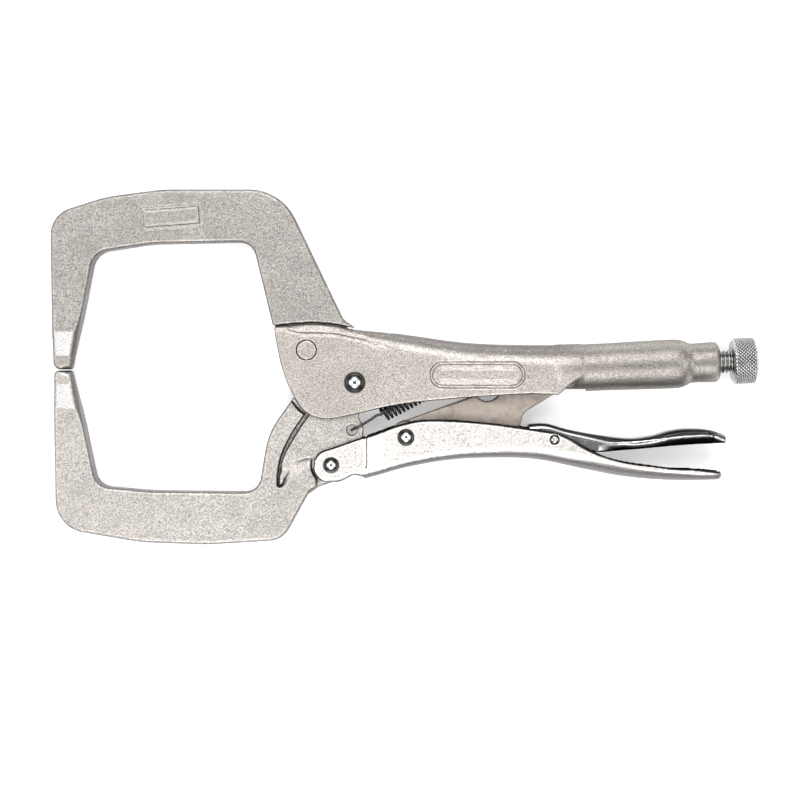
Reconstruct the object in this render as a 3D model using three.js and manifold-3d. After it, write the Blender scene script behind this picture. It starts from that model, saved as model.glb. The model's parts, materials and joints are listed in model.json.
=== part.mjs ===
// Locking C-clamp pliers, lying on their side.
// Millimetres, +Z up. X runs from the jaws to the adjusting knob, Y from the lower handle
// to the upper handle, Z through the thickness. Every outline is drawn around the jaw
// pivot, at x = y = 0, and z = 0 is the tool's middle plane. The last lines lift the
// finished group so that the middle of its underside is the origin.
import * as THREE from 'three';
import { mergeVertices } from 'three/addons/utils/BufferGeometryUtils.js';
import Module from 'manifold-3d';

const wasm = await Module();
wasm.setup();

// ---- driving dimensions ----
const GAP = 0.3;                    // clearance between pieces that touch or turn
const THROUGH = 40;                 // depth of a cut that passes right through
const ROUND = 20;                   // sides of a round pin or hole

const JAW_HALF = 5.5;               // half thickness of the forged jaws
const JAW_BEVEL = 0.8;              // eased edge of the forgings
const TANG_HALF = 3.6;              // half thickness of the tangs inside the handles
const TIP_HALF = 4.3;               // half thickness of the thinned jaw tips
const TIP_FLAT = 5.6;               // length of the thinned block at each tip
const TIP_SLOPE = 9.6;              // length of the slope that leads to it
const TIP_LEVEL = 4.95;             // height of the line where the two tips meet
const TIP_GAP = 0.4;                // light between the closed tips

const PLATE_HALF = 6.4;             // half width over the side plates, at the jaw pivot
const UPPER_SHEET = 2.5;            // sheet thickness of the upper handle
const LOWER_SHEET = 1.8;            // sheet thickness of the lower handle
const LOWER_HALF = 5.7;             // half width of the lower handle at its front
const LEVER_SHEET = 1.5;            // sheet thickness of the release lever

const PIVOT_SHANK = 3.1;            // shank radius of the jaw pivot's rivet
const HANDLE_SHANK = 2.4;           // shank radius of the lower handle's two rivets
const PIN_SHANK = 1.5;              // shank radius of the release lever's pin
const FIXED_RIVET_RADIUS = 3.8;

const LOWER_PIVOT = [-9.3, -32.5];  // lower jaw to lower handle
const LINK_PIVOT = [20.2, -21.5];   // lower handle to toggle link
const LINK_END = [86.5, 3.1];       // rounded rear end of the toggle link
const LEVER_PIVOT = [78.5, -22.4];  // release lever to lower handle
const FIXED_RIVET = [-19, 12.8];    // flush rivet that holds the upper jaw
const SPRING_LUG = [50, 7.6];       // lug inside the upper handle for the spring
const SPRING_HOLE = [-1.2, -18.8];  // spring hole in the lower jaw
const SPRING_HOLE_RADIUS = 2.1;
const SPRING_LUG_RADIUS = 2;

const EYE = 9.3;                    // radius of the lower jaw's eye at the jaw pivot
const LINK_HALF = 2.9;              // half thickness of the toggle link
const LINK_END_RADIUS = 3.2;
const LINK_SLOT_END = 91.5;         // rear end of the slot that the toggle link swings in
const LINK_SLOT_HALF = 3.5;

const SCREW_TILT = THREE.MathUtils.degToRad(2.5);
const SCREW_AXIS_X = 139;
const SCREW_AXIS_Y = 7.9;           // height of the screw's axis at SCREW_AXIS_X
const SCREW_RADIUS = 4.76;
const SCREW_TIP = 98;               // inner end of the adjusting screw
const STEM_RADIUS = 3;              // turned-down end of the screw, inside the knob
const STEM_SHORT = 1.4;             // how far the stem ends inside the knob's rear face
const KNOB_START = 149.3;
const KNOB_LENGTH = 9.4;
const KNOB_RADIUS = 9.1;
const KNOB_CHAMFER = 1;

const TUBE_START = 82;              // where the plates close into the tube
const TUBE_END = 129;
const TUBE_RADIUS = 9.3;
const TUBE_END_RADIUS = 9.7;
const TUBE_WALL = 2.3;
const COLLAR_START = 131.5;         // where the tube has stepped down to its threaded collar
const COLLAR_END = 144;
const COLLAR_RADIUS = 7.9;
const COLLAR_CHAMFER = 1;

// ---- materials ----
const metal = (color, roughness) => new THREE.MeshStandardMaterial({ color, roughness, metalness: 0.9 });
const NICKEL = metal(0xc8beb8, 0.5);
const SATIN = metal(0xdcd8d0, 0.35);
const CHROME = metal(0xe4e6ea, 0.12);
const FORGED = metal(0xb0a396, 0.6);
const DARK_WIRE = metal(0x2b2b2e, 0.4);

// ---- helpers ----
// A closed geometry as a solid that can be joined and cut.
function solid(geometry) {
  geometry.deleteAttribute('normal');
  geometry.deleteAttribute('uv');
  const merged = mergeVertices(geometry, 1e-4);
  const triangles = [];
  for (let i = 0; i < merged.index.count; i += 3) {
    const [a, b, c] = merged.index.array.slice(i, i + 3);
    if (a !== b && b !== c && c !== a) triangles.push(a, b, c);
  }
  const mesh = new wasm.Mesh({
    numProp: 3,
    vertProperties: new Float32Array(merged.attributes.position.array),
    triVerts: new Uint32Array(triangles),
  });
  return new wasm.Manifold(mesh);
}

// A joined or cut solid as a named three.js mesh.
function piece(name, body, material) {
  const mesh = body.getMesh();
  const geometry = new THREE.BufferGeometry();
  geometry.setAttribute('position', new THREE.BufferAttribute(mesh.vertProperties, 3));
  geometry.setIndex(new THREE.BufferAttribute(mesh.triVerts, 1));
  geometry.computeVertexNormals();
  const result = new THREE.Mesh(geometry, material);
  result.name = name;
  return result;
}

// A polygon [x, y, radius] with its corners rounded to the radius given for each.
function rounded(corners) {
  const shape = new THREE.Shape();
  corners.forEach(([x, y, radius = 0], i) => {
    const corner = new THREE.Vector2(x, y);
    const before = new THREE.Vector2(...corners.at(i - 1).slice(0, 2)).sub(corner).normalize();
    const after = new THREE.Vector2(...corners[(i + 1) % corners.length].slice(0, 2)).sub(corner).normalize();
    const begin = i === 0 ? 'moveTo' : 'lineTo';
    if (radius === 0) {
      shape[begin](x, y);
      return;
    }
    const half = Math.acos(THREE.MathUtils.clamp(before.dot(after), -1, 1)) / 2;
    const reach = radius / Math.tan(half);
    const start = corner.clone().addScaledVector(before, reach);
    const end = corner.clone().addScaledVector(after, reach);
    const centre = before.clone().add(after).normalize().multiplyScalar(radius / Math.sin(half)).add(corner);
    const startAngle = start.clone().sub(centre).angle();
    const endAngle = end.clone().sub(centre).angle();
    const turnsLeft = before.cross(after) < 0;
    if (i === 0) shape.moveTo(start.x, start.y);
    shape.absarc(centre.x, centre.y, radius, startAngle, endAngle, !turnsLeft);
  });
  return shape;
}

// A flat piece of the outline, centred on the middle plane, with eased edges.
function slab(shape, half, bevel = 0, curveSegments = 5) {
  const geometry = new THREE.ExtrudeGeometry(shape, {
    depth: 2 * (half - bevel),
    bevelEnabled: bevel > 0,
    bevelThickness: bevel,
    bevelSize: bevel,
    bevelOffset: -bevel,
    bevelSegments: 1,
    curveSegments,
  });
  geometry.translate(0, 0, bevel - half);
  return solid(geometry);
}

// A round pin or a cut for one, across the tool.
function pin([x, y], radius, half, sides = ROUND) {
  const geometry = new THREE.CylinderGeometry(radius, radius, 2 * half, sides);
  geometry.rotateX(Math.PI / 2);
  geometry.translate(x, y, 0);
  return solid(geometry);
}

// A rivet across the tool: a shank between two heads with domed ends.
function rivet([x, y], shank, headRadius, innerHalf, outerHalf) {
  const rim = innerHalf + (outerHalf - innerHalf) * 0.45;
  const crown = headRadius * 0.72;
  const profile = [
    [0, -outerHalf],
    [crown, -outerHalf + 0.3],
    [headRadius, -rim],
    [headRadius, -innerHalf],
    [shank, -innerHalf],
    [shank, innerHalf],
    [headRadius, innerHalf],
    [headRadius, rim],
    [crown, outerHalf - 0.3],
    [0, outerHalf],
  ].map(([radius, height]) => new THREE.Vector2(radius, height));
  const geometry = new THREE.LatheGeometry(profile, ROUND);
  geometry.rotateX(Math.PI / 2);
  geometry.translate(x, y, 0);
  return solid(geometry);
}

// A round bar along the adjusting screw's sloping axis, from one x to another.
function alongScrew(radiusStart, radiusEnd, start, end, sides = 28) {
  const geometry = new THREE.CylinderGeometry(radiusEnd, radiusStart, end - start, sides);
  geometry.rotateZ(-Math.PI / 2);
  geometry.translate((start + end) / 2 - SCREW_AXIS_X, 0, 0);
  geometry.rotateZ(SCREW_TILT);
  geometry.translate(SCREW_AXIS_X, SCREW_AXIS_Y, 0);
  return solid(geometry);
}

// Straight-line reading of a list of [x, value] stops.
function reading(stops) {
  return (x) => {
    const next = stops.findIndex((stop) => stop[0] >= x);
    if (next === 0) return stops[0][1];
    if (next < 0) return stops.at(-1)[1];
    const [x0, value0] = stops[next - 1];
    const [x1, value1] = stops[next];
    return THREE.MathUtils.lerp(value0, value1, (x - x0) / (x1 - x0));
  };
}

// A smooth reading of the same kind of list.
function curve(stops) {
  const spline = new THREE.SplineCurve(stops.map(([x, value]) => new THREE.Vector2(x, value)));
  return reading(spline.getPoints(stops.length * 6).map((point) => [point.x, point.y]));
}

// One cross-section of a bent sheet: a web at height web, its bend radius, and two straight
// walls that run from the bend to height edge. side is +1 for a web on top, -1 underneath.
function channelRing(x, web, edge, half, bend, side) {
  const steps = 4;
  const ring = [[x, edge, half]];
  for (let i = 0; i <= steps; i += 1) {
    const angle = (i / steps) * (Math.PI / 2);
    ring.push([x, web - side * bend * (1 - Math.sin(angle)), half - bend * (1 - Math.cos(angle))]);
  }
  const mirrored = ring.map(([px, py, pz]) => [px, py, -pz]).reverse();
  const closed = [...ring, ...mirrored];
  return side > 0 ? closed : closed.reverse();
}

// A solid through a row of rings that have the same number of points.
function loft(rings) {
  const count = rings[0].length;
  const positions = rings.flat(2);
  const index = [];
  for (let i = 0; i < rings.length - 1; i += 1) {
    for (let j = 0; j < count; j += 1) {
      const a = i * count + j;
      const b = i * count + ((j + 1) % count);
      index.push(a, a + count, b, b, a + count, b + count);
    }
  }
  const last = (rings.length - 1) * count;
  for (let j = 1; j < count - 1; j += 1) {
    index.push(0, j, j + 1);
    index.push(last, last + j + 1, last + j);
  }
  const geometry = new THREE.BufferGeometry();
  geometry.setAttribute('position', new THREE.Float32BufferAttribute(positions, 3));
  geometry.setIndex(index);
  return solid(geometry);
}

// ---- upper handle ----
const upperTop = curve([
  [-40, 20.6], [-32, 22.1], [-18, 23.4], [-8, 22.8], [0, 21.3], [20, 18.9], [45, 15.6], [70, 14.8],
  [90, 15.2],
]);
const upperHalf = reading([[-40, PLATE_HALF], [14, PLATE_HALF], [34, 7.4], [60, 8.4], [90, 9.4]]);
const upperBend = reading([[-40, 2.6], [-4, 3.2], [8, 4.6], [20, 7.2], [60, 8.2], [90, 9.3]]);

function upperChannel(inset, start, end) {
  const rings = [];
  const steps = 16;
  for (let i = 0; i <= steps; i += 1) {
    const x = THREE.MathUtils.lerp(start, end, i / steps);
    const bend = Math.max(upperBend(x) - inset, 0.4);
    rings.push(channelRing(x, upperTop(x) - inset, -30, upperHalf(x) - inset, bend, 1));
  }
  return loft(rings);
}

function upperPlateOutline() {
  const shape = new THREE.Shape();
  const edge = [
    [-31.3, 18], [-29, 7], [-25.5, -2.5], [-20, -11.2], [-12, -14.4], [-2, -13],
    [17, -8.8], [40, -6.3], [66, -4.6], [80, -4.8],
  ];
  shape.moveTo(-32.3, 26);
  shape.splineThru(edge.map(([x, y]) => new THREE.Vector2(x, y)));
  shape.lineTo(89, 3);
  shape.lineTo(89, 30);
  shape.lineTo(-32.3, 30);
  return shape;
}

function upperHandle() {
  const plates = upperChannel(0, -40, 90).intersect(slab(upperPlateOutline(), THROUGH, 0, 3));
  const throat = slab(rounded([[-45, -40], [1, -40], [1, 40], [-45, 40]]), PLATE_HALF - UPPER_SHEET);
  const hollow = upperChannel(UPPER_SHEET, -45, TUBE_START + 3);
  const collarEdge = COLLAR_END - COLLAR_CHAMFER;
  const tube = alongScrew(TUBE_RADIUS, TUBE_END_RADIUS, TUBE_START, TUBE_END)
    .add(alongScrew(TUBE_END_RADIUS, COLLAR_RADIUS + 0.4, TUBE_END, COLLAR_START + 1.5))
    .add(alongScrew(COLLAR_RADIUS, COLLAR_RADIUS, COLLAR_START, collarEdge))
    .add(alongScrew(COLLAR_RADIUS, COLLAR_RADIUS - COLLAR_CHAMFER, collarEdge, COLLAR_END));
  const boreStart = TUBE_RADIUS - TUBE_WALL;
  const boreEnd = TUBE_END_RADIUS - TUBE_WALL;
  const bore = alongScrew(boreStart, boreEnd, TUBE_START - 4, TUBE_END + 0.5)
    .add(alongScrew(SCREW_RADIUS + GAP, SCREW_RADIUS + GAP, TUBE_END - 4, COLLAR_END + 2));
  const slotOutline = rounded([[70, -12], [LINK_SLOT_END, -12], [LINK_SLOT_END, 3], [70, 3]]);
  const linkSlot = slab(slotOutline, LINK_SLOT_HALF);
  const lug = pin(SPRING_LUG, SPRING_LUG_RADIUS, upperHalf(SPRING_LUG[0]) - 0.6, 12);
  return plates.subtract(throat).subtract(hollow)
    .add(tube).subtract(bore).subtract(linkSlot)
    .add(lug)
    .subtract(pin([0, 0], PIVOT_SHANK + GAP, THROUGH))
    .subtract(pin(FIXED_RIVET, FIXED_RIVET_RADIUS + GAP / 2, THROUGH));
}

// ---- jaws ----
// A wedge that thins one face of a jaw tip. side is +1 for the upper jaw, -1 for the lower.
function tipThinning(side, face) {
  const flatEnd = TIP_LEVEL + side * TIP_FLAT;
  const slopeEnd = flatEnd + side * TIP_SLOPE;
  const shape = new THREE.Shape();
  shape.moveTo(TIP_LEVEL - side * 2, TIP_HALF);
  shape.lineTo(flatEnd, TIP_HALF);
  shape.lineTo(slopeEnd, JAW_HALF + 0.02);
  shape.lineTo(slopeEnd, JAW_HALF + 3);
  shape.lineTo(TIP_LEVEL - side * 2, JAW_HALF + 3);
  const geometry = new THREE.ExtrudeGeometry(shape, { depth: 24, bevelEnabled: false });
  const basis = new THREE.Matrix4().makeBasis(
    new THREE.Vector3(0, 1, 0), new THREE.Vector3(0, 0, face), new THREE.Vector3(face, 0, 0),
  );
  geometry.applyMatrix4(basis);
  geometry.translate(face > 0 ? -126 : -102, 0, 0);
  return solid(geometry);
}

function upperArmOutline() {
  const tip = TIP_LEVEL + TIP_GAP / 2;
  return rounded([
    [-119.1, tip, 1.4],
    [-120, 65.6, 9],
    [-98, 73.2, 50],
    [-76, 76.1, 60],
    [-29.1, 76.1, 20],
    [-4.6, 24.9, 7],
    [4, 19],
    [-8, 12],
    [-29.8, 12],
    [-40.4, 55.6, 7],
    [-80, 54.8, 60],
    [-102.9, 51.4, 8],
    [-109, 19.6, 8],
    [-111.8, tip, 1.4],
  ]);
}

// What the upper handle's front edge covers, where the forged arm steps down to its tang.
function underHandleEdge() {
  const shape = new THREE.Shape();
  shape.moveTo(-36, 8);
  for (let x = -36; x <= 6; x += 3) shape.lineTo(x, upperTop(x) + GAP);
  shape.lineTo(6, 8);
  return slab(shape, THROUGH);
}

function upperJaw() {
  const tang = rounded([
    [-31.9, 25],
    [-30.2, 14],
    [-27.4, 6.4, 3],
    [-14, 6],
    [-4, 6],
    [0, 14],
    [-1.5, 19.6, 3],
    [-6, 25.5],
  ]);
  return slab(upperArmOutline(), JAW_HALF, JAW_BEVEL)
    .subtract(underHandleEdge())
    .subtract(tipThinning(1, 1))
    .subtract(tipThinning(1, -1))
    .add(slab(tang, TANG_HALF))
    .subtract(pin([0, 0], EYE + 0.8, THROUGH, 40))
    .subtract(pin(FIXED_RIVET, FIXED_RIVET_RADIUS + GAP / 2, THROUGH));
}

function lowerArmOutline() {
  const tip = TIP_LEVEL - TIP_GAP / 2;
  return rounded([
    [-118.9, tip, 1.4],
    [-111.8, tip, 1.4],
    [-108.6, -9, 8],
    [-101.9, -41, 7],
    [-80, -42.9, 60],
    [-37.9, -43.4, 7],
    [-34.2, -20, 30],
    [-20, 0],
    [-4, -12],
    [-4, -38],
    [-17.4, -42, 4],
    [-28.2, -61.9, 6],
    [-58, -63.9, 60],
    [-84, -63, 60],
    [-117.8, -57.3, 13],
  ]);
}

// The recess in the lower jaw's sides: room for the upper handle's plates above, and for the
// front of the lower handle, which swings there.
function handleRecess() {
  return slab(rounded([
    [-26.4, -5.4],
    [-23, -10.4, 12],
    [-19.4, -13.2],
    [-24.6, -20.6, 30],
    [-30.2, -32, 30],
    [-30.6, -41.5, 1],
    [-27.8, -41.2, 2],
    [-22.5, -36, 6],
    [-18, -33.2],
    [-17.4, -36, 4],
    [-14.2, -39.4],
    [-12, -50],
    [6, -50],
    [6, 20],
    [-26.4, 20],
  ]), THROUGH, 0, 7);
}

function lowerJaw() {
  const tang = rounded([
    [-25.4, -7.4],
    [-7, 6.2],
    [0, 0],
    [8.6, -3.5],
    [5.6, -8.4, 3],
    [0.8, -12.6, 3],
    [3.4, -18, 2],
    [2.9, -24, 4],
    [-2.6, -32.5],
    [-5.4, -38],
    [-11.9, -39.6],
    [-24, -48],
    [-36, -48],
    [-34, -24],
  ]);
  return slab(lowerArmOutline(), JAW_HALF, JAW_BEVEL)
    .subtract(handleRecess())
    .subtract(tipThinning(-1, 1))
    .subtract(tipThinning(-1, -1))
    .add(slab(tang, TANG_HALF))
    .add(pin([0, 0], EYE, TANG_HALF, 40))
    .add(pin(LOWER_PIVOT, 6.8, TANG_HALF, 32))
    .subtract(pin(SPRING_HOLE, SPRING_HOLE_RADIUS, THROUGH, 16))
    .subtract(pin([0, 0], PIVOT_SHANK + GAP, THROUGH))
    .subtract(pin(LOWER_PIVOT, HANDLE_SHANK + GAP, THROUGH));
}

// ---- lower handle ----
const lowerWeb = curve([
  [-20, -43], [3, -38.2], [20, -33.5], [38, -30.4], [56, -29.6], [72, -30.3], [90, -34],
  [106, -37], [122, -38.3], [146, -37.3],
]);
const lowerHalf = reading([
  [-20, LOWER_HALF], [4, LOWER_HALF], [14, 7.2], [40, 7.9], [80, 8.5], [112, 8.9], [132, 8.4],
  [141, 7], [146, 4],
]);
const lowerBend = reading([[-20, 3], [30, 3.5], [60, 4.2], [80, 4.8], [100, 5.6], [125, 4], [146, 2]]);

function lowerChannel(inset, start, end) {
  const rings = [];
  const steps = 24;
  for (let i = 0; i <= steps; i += 1) {
    const x = THREE.MathUtils.lerp(start, end, i / steps);
    const bend = Math.max(lowerBend(x) - inset, 0.3);
    rings.push(channelRing(x, lowerWeb(x) + inset, 5, lowerHalf(x) - inset, bend, -1));
  }
  return loft(rings);
}

function lowerHandleOutline() {
  const top = [
    [-16, -31], [-13.6, -27], [-8, -25.3], [7, -20], [19, -15.5], [30, -13.9], [50, -14.9],
    [72, -17.8], [82, -19.9], [92, -25.4], [104, -30.2], [122, -33.3], [138, -34.7], [144.6, -36.3],
  ];
  const front = [
    [3, -38.6], [0.4, -36.4], [-2, -37], [-6.6, -39.2], [-11.6, -39.2], [-15.4, -36.4], [-16.4, -33],
  ];
  const shape = new THREE.Shape();
  shape.moveTo(-16.4, -32.4);
  shape.splineThru(top.map(([x, y]) => new THREE.Vector2(x, y)));
  shape.lineTo(146, -50);
  shape.lineTo(3, -50);
  front.forEach(([x, y]) => shape.lineTo(x, y));
  return shape;
}

function lowerHandle() {
  const outside = lowerChannel(0, -20, 146).intersect(slab(lowerHandleOutline(), THROUGH, 0, 2));
  const openFront = slab(rounded([[-30, -60], [3.2, -60], [3.2, 0], [-30, 0]]), LOWER_HALF - LOWER_SHEET);
  return outside
    .subtract(lowerChannel(LOWER_SHEET, 2, 145))
    .subtract(openFront)
    .subtract(pin(LOWER_PIVOT, HANDLE_SHANK + GAP, THROUGH))
    .subtract(pin(LINK_PIVOT, HANDLE_SHANK + GAP, THROUGH))
    .subtract(pin(LEVER_PIVOT, PIN_SHANK + GAP, THROUGH));
}

// ---- toggle link and release lever ----
function toggleLink() {
  const outline = rounded([
    [15.4, -16.2, 6],
    [21.6, -14.4, 4],
    [46, -5.6, 20],
    [85.4, 6.1],
    [87.6, 0.1],
    [77.6, -5.3, 10],
    [66.6, -12, 4],
    [65.2, -17.6, 2],
    [56, -20.6, 12],
    [34, -22.4, 20],
    [22.6, -27.6, 5],
    [14, -25, 5.6],
  ]);
  return slab(outline, LINK_HALF, 0.5)
    .add(pin(LINK_END, LINK_END_RADIUS, LINK_HALF))
    .add(pin(LINK_PIVOT, 6.1, 4.9, 32))
    .subtract(pin([52.4, -2.6], 4.8, THROUGH))
    .subtract(pin(LINK_PIVOT, HANDLE_SHANK + GAP, THROUGH));
}

const leverTop = curve([
  [64, -17.2], [70, -16.3], [76, -16.3], [84, -18.5], [96, -20.7], [108, -22], [117, -21],
  [125, -18.8], [132, -18.1], [140, -19], [146.4, -22],
]);
const leverHalf = reading([[64, 5.9], [102, 5.9], [112, 7.8], [136, 7.8], [142, 6.6], [146.4, 4]]);

function releaseLever() {
  const rings = (inset, start, end) => {
    const result = [];
    const steps = 20;
    for (let i = 0; i <= steps; i += 1) {
      const x = THREE.MathUtils.lerp(start, end, i / steps);
      result.push(channelRing(x, leverTop(x) - inset, -40, leverHalf(x) - inset, 2.4 - inset, 1));
    }
    return result;
  };
  const outline = new THREE.Shape();
  outline.moveTo(68.4, -10);
  outline.lineTo(68.2, -19);
  outline.lineTo(72, -25.4);
  outline.lineTo(80, -27.2);
  outline.lineTo(98, -27.4);
  const underside = [[110, -26.4], [128, -24.5], [140, -23.3], [146.6, -22.9]];
  outline.splineThru(underside.map(([x, y]) => new THREE.Vector2(x, y)));
  outline.lineTo(146.6, -10);
  return loft(rings(0, 64, 146.4))
    .intersect(slab(outline, THROUGH, 0, 2))
    .subtract(loft(rings(LEVER_SHEET, 60, 145)))
    .subtract(pin(LEVER_PIVOT, PIN_SHANK + GAP, THROUGH));
}

// ---- spring ----
// The coil's outer shape, a hook through the lower jaw's hole and a loop around the lug.
function tensionSpring() {
  const wire = 0.55;
  const coilRadius = 3.4;
  const coilStart = 13.5;
  const coilEnd = 45;
  const hole = new THREE.Vector3(...SPRING_HOLE, 0);
  const lug = new THREE.Vector3(...SPRING_LUG, 0);
  const along = lug.clone().sub(hole).normalize();
  const across = new THREE.Vector3(-along.y, along.x, 0);
  const lugDistance = lug.distanceTo(hole);
  const at = (distance, side, z = 0) => hole.clone()
    .addScaledVector(along, distance)
    .addScaledVector(across, side)
    .setZ(z);
  const bar = (points) => {
    const section = new THREE.Shape().absarc(0, 0, wire, 0, 2 * Math.PI);
    const extrudePath = new THREE.CatmullRomCurve3(points);
    return solid(new THREE.ExtrudeGeometry(section, { extrudePath, steps: 20, curveSegments: 6 }));
  };
  const barrel = new THREE.CylinderGeometry(coilRadius, coilRadius, coilEnd - coilStart, 12);
  barrel.rotateZ(Math.atan2(along.y, along.x) - Math.PI / 2);
  const middle = at((coilStart + coilEnd) / 2, 0);
  barrel.translate(middle.x, middle.y, 0);
  const outside = TANG_HALF + wire + GAP;
  const front = bar([
    at(coilStart + 1, 0.5, 2.4),
    at(9, 0.3, 3),
    at(4, 0, outside),
    at(1, 0, outside),
    at(0, 0, TANG_HALF),
    at(0, 0, 0),
    at(0, 0, -TANG_HALF),
    at(1, 0, -outside),
    at(4.4, 0, -outside),
  ]);
  const loop = [at(coilEnd - 1, -2.4), at(coilEnd + 5, -3.3)];
  for (let degrees = -90; degrees <= 150; degrees += 30) {
    const angle = THREE.MathUtils.degToRad(degrees);
    loop.push(at(lugDistance + 3.3 * Math.cos(angle), 3.3 * Math.sin(angle)));
  }
  return solid(barrel).add(front).add(bar(loop));
}

// ---- adjusting screw ----
function adjustingScrew() {
  return alongScrew(SCREW_RADIUS - 1, SCREW_RADIUS, SCREW_TIP, SCREW_TIP + 1.2)
    .add(alongScrew(SCREW_RADIUS, SCREW_RADIUS, SCREW_TIP + 1.2, KNOB_START - GAP))
    .add(alongScrew(STEM_RADIUS, STEM_RADIUS, KNOB_START - 1, KNOB_START + KNOB_LENGTH - STEM_SHORT, 16));
}

function screwKnob() {
  const knobEnd = KNOB_START + KNOB_LENGTH;
  const narrow = KNOB_RADIUS - KNOB_CHAMFER;
  const socket = STEM_RADIUS + GAP;
  return alongScrew(narrow, KNOB_RADIUS, KNOB_START, KNOB_START + KNOB_CHAMFER)
    .add(alongScrew(KNOB_RADIUS, KNOB_RADIUS, KNOB_START + KNOB_CHAMFER, knobEnd - KNOB_CHAMFER))
    .add(alongScrew(KNOB_RADIUS, narrow, knobEnd - KNOB_CHAMFER, knobEnd))
    .subtract(alongScrew(socket, socket, KNOB_START - 1, knobEnd - STEM_SHORT + GAP, 16));
}

// ---- assembly ----
const group = new THREE.Group();
group.add(
  piece('upper_handle', upperHandle(), NICKEL),
  piece('upper_jaw', upperJaw(), NICKEL),
  piece('fixed_jaw_rivet', pin(FIXED_RIVET, FIXED_RIVET_RADIUS, PLATE_HALF + 0.05), NICKEL),
  piece('jaw_pivot_rivet', rivet([0, 0], PIVOT_SHANK, 4.3, PLATE_HALF + GAP, 8.2), CHROME),
  piece('lower_jaw', lowerJaw(), NICKEL),
  piece('tension_spring', tensionSpring(), DARK_WIRE),
  piece('lower_handle', lowerHandle(), SATIN),
  piece('handle_rivet', rivet(LOWER_PIVOT, HANDLE_SHANK, 3.3, LOWER_HALF + GAP, 7.3), CHROME),
  piece('link_rivet', rivet(LINK_PIVOT, HANDLE_SHANK, 3.4, 7.5 + GAP, 9), CHROME),
  piece('toggle_link', toggleLink(), FORGED),
  piece('release_lever', releaseLever(), CHROME),
  piece('release_pin', rivet(LEVER_PIVOT, PIN_SHANK, 2, 8.5 + GAP, 9.3), CHROME),
  piece('adjusting_screw', adjustingScrew(), SATIN),
  piece('screw_knob', screwKnob(), SATIN),
);

// Lift the group so that the middle of its underside is the origin.
const box = new THREE.Box3().setFromObject(group);
const centre = box.getCenter(new THREE.Vector3());
group.position.set(-centre.x, -centre.y, -box.min.z);
group.updateMatrixWorld(true);

export default group;
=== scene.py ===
"""Locking C-clamp pliers: the visible surfaces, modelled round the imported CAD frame.

Lengths are millimetres round the jaw pivot (x to the knob, y to the upper handle, z up from
the middle plane) until a mesh is made, which puts it in metres in the frame.
Solid pieces are distance fields, negative inside, sampled on a cubic grid and meshed.
"""
import functools
import json
import math

import bpy
import numpy as np
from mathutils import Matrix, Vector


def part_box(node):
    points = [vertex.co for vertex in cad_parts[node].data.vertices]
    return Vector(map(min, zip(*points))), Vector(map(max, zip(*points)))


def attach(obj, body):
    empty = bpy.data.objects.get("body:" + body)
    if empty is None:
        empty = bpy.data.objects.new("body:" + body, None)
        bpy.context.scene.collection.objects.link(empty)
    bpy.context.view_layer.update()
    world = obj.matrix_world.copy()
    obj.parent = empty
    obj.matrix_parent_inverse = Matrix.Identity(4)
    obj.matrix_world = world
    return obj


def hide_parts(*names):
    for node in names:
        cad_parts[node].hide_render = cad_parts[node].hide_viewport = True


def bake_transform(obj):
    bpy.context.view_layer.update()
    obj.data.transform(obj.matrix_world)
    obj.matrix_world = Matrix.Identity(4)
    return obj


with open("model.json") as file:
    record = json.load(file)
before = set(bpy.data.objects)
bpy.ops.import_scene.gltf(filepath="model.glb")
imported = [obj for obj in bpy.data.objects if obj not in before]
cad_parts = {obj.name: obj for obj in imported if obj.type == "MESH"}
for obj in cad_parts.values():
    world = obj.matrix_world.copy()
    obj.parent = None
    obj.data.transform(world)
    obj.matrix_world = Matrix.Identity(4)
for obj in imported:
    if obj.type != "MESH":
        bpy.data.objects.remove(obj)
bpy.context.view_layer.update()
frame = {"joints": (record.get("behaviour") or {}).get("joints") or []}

MM = 0.001
JOINTS = {joint["name"]: joint for joint in frame["joints"]}
ORIGIN = np.array(JOINTS["jaw_pivot"]["pos_m"], float)


def local(point):
    """A point of the frame, in millimetres round the jaw pivot."""
    return (np.array(point, float) - ORIGIN) / MM


def frame_point(point):
    """A point round the jaw pivot, in metres in the frame."""
    return tuple(float(value) for value in np.asarray(point) * MM + ORIGIN)


def pivot(joint):
    """Where a hinge crosses the middle plane."""
    return local(JOINTS[joint]["pos_m"])[:2]


def extent(node):
    """The lowest and highest corners of a CAD node, in millimetres round the jaw pivot."""
    low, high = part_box(node)
    return local(low), local(high)


def middle(node):
    """The middle of a CAD node's box."""
    low, high = extent(node)
    return (low + high) / 2


# ---- driving dimensions ----
JAW_PIVOT = np.zeros(2)
LOWER_PIVOT = pivot("handle_pivot")
LINK_PIVOT = pivot("link_pivot")
LEVER_PIVOT = pivot("lever_pivot")
FIXED_RIVET = middle("fixed_jaw_rivet")[:2]
SCREW_DIRECTION = np.array(JOINTS["screw_feed"]["axis"], float)
SCREW_POINT = local(JOINTS["knob_turn"]["pos_m"])

# Half thicknesses, out from the middle plane.
JAW_HALF = extent("upper_jaw")[1][2]
TANG_HALF = 3.6
TIP_HALF = 3.8
PLATE_HALF = 6.4
LOWER_HALF = 5.7
LINK_HALF = 2.9
BOSS_HALF = 4.9

# The level at which the jaws' tips meet, with a gap. Away from it, forward of the rear line, each
# side of a tip is flat and then slopes out to the jaw's full thickness.
TIP_LEVEL = 4.95
TIP_GAP = 0.4
TIP_FLAT = 5.6
TIP_SLOPE = 9.6
TIP_REAR = -100.0

# Where along x the upper handle's bent sheet turns into a round barrel, and the barrel's painted shade fades
# in.
BARREL_START = 80
BARREL_END = 92

# Sheet thicknesses, and the clearance between pieces.
UPPER_SHEET = 2.5
LOWER_SHEET = 1.8
LEVER_SHEET = 1.5
GAP = 0.3

# Radii of the lower jaw's eye and of the holes for the rivets.
EYE = 9.3
JAW_HOLE = 3.4
HANDLE_HOLE = 2.7
PIN_HOLE = 1.8
FIXED_HOLE = 3.95

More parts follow.
